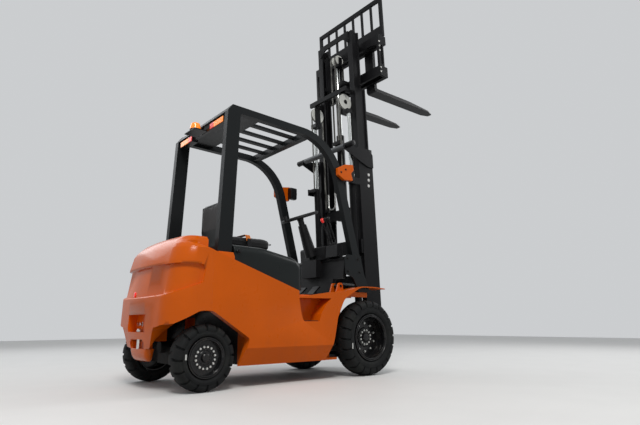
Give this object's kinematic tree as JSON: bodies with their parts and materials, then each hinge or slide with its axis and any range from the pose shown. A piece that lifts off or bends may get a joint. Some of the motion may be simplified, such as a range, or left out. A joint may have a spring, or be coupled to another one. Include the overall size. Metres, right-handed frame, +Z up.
{
  "type": "electric counterbalance forklift, four wheels, three-stage mast",
  "caption": "Orange and black battery forklift with its three-stage mast raised, hinged hood, steered rear wheels and tilting mast",
  "frame": {"origin": "Middle of the truck's bounding box on the floor, between the counterweight's rear and the fork tips", "axes": "+X forward to the forks, +Y to the driver's left, +Z up"},
  "size_m": [3.4893, 1.1, 4.1125],
  "materials": {
    "body_orange": "gloss paint on steel and cast panels",
    "casting_orange": "gloss paint over a rough casting",
    "frame_black": "satin black paint",
    "mast_black": "satin black paint, rubbed bright on the runs",
    "cross_grey": "grey paint",
    "tyre_rubber": "matt rubber with dust",
    "rim_black": "black rims with bright nuts",
    "seat_cover": "black vinyl",
    "plastic_black": "grained plastic",
    "rubber_mat": "ribbed rubber",
    "chrome_rod": "polished rods",
    "chain_steel": "oiled leaf chain",
    "pulley_white": "off-white sheaves",
    "fork_black": "black paint, worn bright at the blade",
    "lamp_lens": "tinted lenses",
    "cast_dark": "dark castings"
  },
  "bodies": {
    "chassis": {"frame": "body_orange", "counterweight": "casting_orange", "battery": "plastic_black", "drive_axle": "cast_dark", "steer_axle": "cast_dark", "overhead_guard": "frame_black", "floor_plate": "rubber_mat", "cowl": "plastic_black", "controls": "plastic_black", "rear_lamps": "lamp_lens", "beacon": "lamp_lens", "lamp_brackets": "body_orange", "head_lamps": "plastic_black"},
    "hood_body": {"hood": "plastic_black", "seat_cushion": "seat_cover", "seat_back": "seat_cover"},
    "front_wheel_left": {"front_tyre_left": "tyre_rubber", "front_rim_left": "rim_black"},
    "front_wheel_right": {"front_tyre_right": "tyre_rubber", "front_rim_right": "rim_black"},
    "steer_left": {"knuckle_left": "cast_dark"},
    "steer_right": {"knuckle_right": "cast_dark"},
    "rear_wheel_left": {"rear_tyre_left": "tyre_rubber", "rear_rim_left": "rim_black"},
    "rear_wheel_right": {"rear_tyre_right": "tyre_rubber", "rear_rim_right": "rim_black"},
    "hand_wheel": {"steering_wheel": "plastic_black"},
    "outer_stage": {"outer_mast": "mast_black", "lift_barrels": "mast_black"},
    "middle_stage": {"middle_mast": "mast_black", "lift_rods": "chrome_rod", "chain_pulleys": "pulley_white", "lift_chains": "chain_steel"},
    "inner_stage": {"inner_mast": "mast_black", "free_lift_barrel": "mast_black"},
    "free_head": {"free_lift_head": "pulley_white", "free_lift_chains": "chain_steel"},
    "carriage_body": {"carriage": "mast_black", "load_backrest": "mast_black", "fork_left": "fork_black", "fork_right": "fork_black"},
    "tilt_barrel_l": {"tilt_barrel_left": "mast_black"},
    "tilt_barrel_r": {"tilt_barrel_right": "mast_black"},
    "tilt_rod_l": {"tilt_rod_left": "chrome_rod"},
    "tilt_rod_r": {"tilt_rod_right": "chrome_rod"}
  },
  "joints": [
    {"name": "front_wheel_left_spin", "type": "hinge", "parent": "chassis", "child": "front_wheel_left", "pos_m": [0.22856, 0.455, 0.336], "axis": [0, 1, 0], "continuous": true},
    {"name": "front_wheel_right_spin", "type": "hinge", "parent": "chassis", "child": "front_wheel_right", "pos_m": [0.22856, -0.455, 0.336], "axis": [0, 1, 0], "continuous": true},
    {"name": "steer_left_turn", "type": "hinge", "parent": "chassis", "child": "steer_left", "pos_m": [-1.42144, 0.362, 0.23], "axis": [0, 0, 1], "range_deg": [-65, 65]},
    {"name": "rear_wheel_left_spin", "type": "hinge", "parent": "steer_left", "child": "rear_wheel_left", "pos_m": [-1.42144, 0.4495, 0.23], "axis": [0, 1, 0], "continuous": true},
    {"name": "steer_right_turn", "type": "hinge", "parent": "chassis", "child": "steer_right", "pos_m": [-1.42144, -0.362, 0.23], "axis": [0, 0, 1], "range_deg": [-65, 65]},
    {"name": "rear_wheel_right_spin", "type": "hinge", "parent": "steer_right", "child": "rear_wheel_right", "pos_m": [-1.42144, -0.4495, 0.23], "axis": [0, 1, 0], "continuous": true},
    {"name": "hand_wheel_turn", "type": "hinge", "parent": "chassis", "child": "hand_wheel", "pos_m": [-0.19144, 0, 1.5], "axis": [-0.3698, 0, 0.9291], "range_deg": [-850, 850]},
    {"name": "hood_open", "type": "hinge", "parent": "chassis", "child": "hood_body", "pos_m": [-1.23344, 0, 1.072], "axis": [0, -1, 0], "range_deg": [0, 60]},
    {"name": "mast_tilt", "type": "hinge", "parent": "chassis", "child": "outer_stage", "pos_m": [0.22856, 0, 0.336], "axis": [0, 1, 0], "range_deg": [-9.4, 8.6]},
    {"name": "main_lift", "type": "slide", "parent": "outer_stage", "child": "middle_stage", "axis": [-0.0454, 0, 0.999], "range_m": [-0.715, 0.735], "deforming": ["lift_chains"]},
    {"name": "inner_lift", "type": "slide", "parent": "middle_stage", "child": "inner_stage", "axis": [-0.0454, 0, 0.999], "range_m": [-0.715, 0.735]},
    {"name": "free_lift", "type": "slide", "parent": "inner_stage", "child": "carriage_body", "axis": [-0.0454, 0, 0.999], "range_m": [-1.543, 0]},
    {"name": "free_head_lift", "type": "slide", "parent": "inner_stage", "child": "free_head", "axis": [-0.0454, 0, 0.999], "range_m": [-0.7715, 0], "deforming": ["free_lift_chains"]},
    {"name": "tilt_barrel_l_swing", "type": "hinge", "parent": "chassis", "child": "tilt_barrel_l", "pos_m": [-0.02144, 0.352, 0.8], "axis": [0, 1, 0], "range_deg": [-4, 4]},
    {"name": "tilt_rod_l_slide", "type": "slide", "parent": "tilt_barrel_l", "child": "tilt_rod_l", "axis": [0.9999, 0, 0.0159], "range_m": [-0.085, 0.085]},
    {"name": "tilt_barrel_r_swing", "type": "hinge", "parent": "chassis", "child": "tilt_barrel_r", "pos_m": [-0.02144, -0.352, 0.8], "axis": [0, 1, 0], "range_deg": [-4, 4]},
    {"name": "tilt_rod_r_slide", "type": "slide", "parent": "tilt_barrel_r", "child": "tilt_rod_r", "axis": [0.9999, 0, 0.0159], "range_m": [-0.085, 0.085]}
  ],
  "couplings": [
    {"joint": "steer_right_turn", "follows": "steer_left_turn", "ratio": 1},
    {"joint": "hand_wheel_turn", "follows": "steer_left_turn", "ratio": -13},
    {"joint": "inner_lift", "follows": "main_lift", "ratio": 1},
    {"joint": "free_head_lift", "follows": "free_lift", "ratio": 0.5},
    {"joint": "tilt_barrel_l_swing", "follows": "mast_tilt", "ratio": 0.3324},
    {"joint": "tilt_rod_l_slide", "follows": "mast_tilt", "m_per_rad": 0.4679},
    {"joint": "tilt_barrel_r_swing", "follows": "mast_tilt", "ratio": 0.3324},
    {"joint": "tilt_rod_r_slide", "follows": "mast_tilt", "m_per_rad": 0.4679}
  ]
}
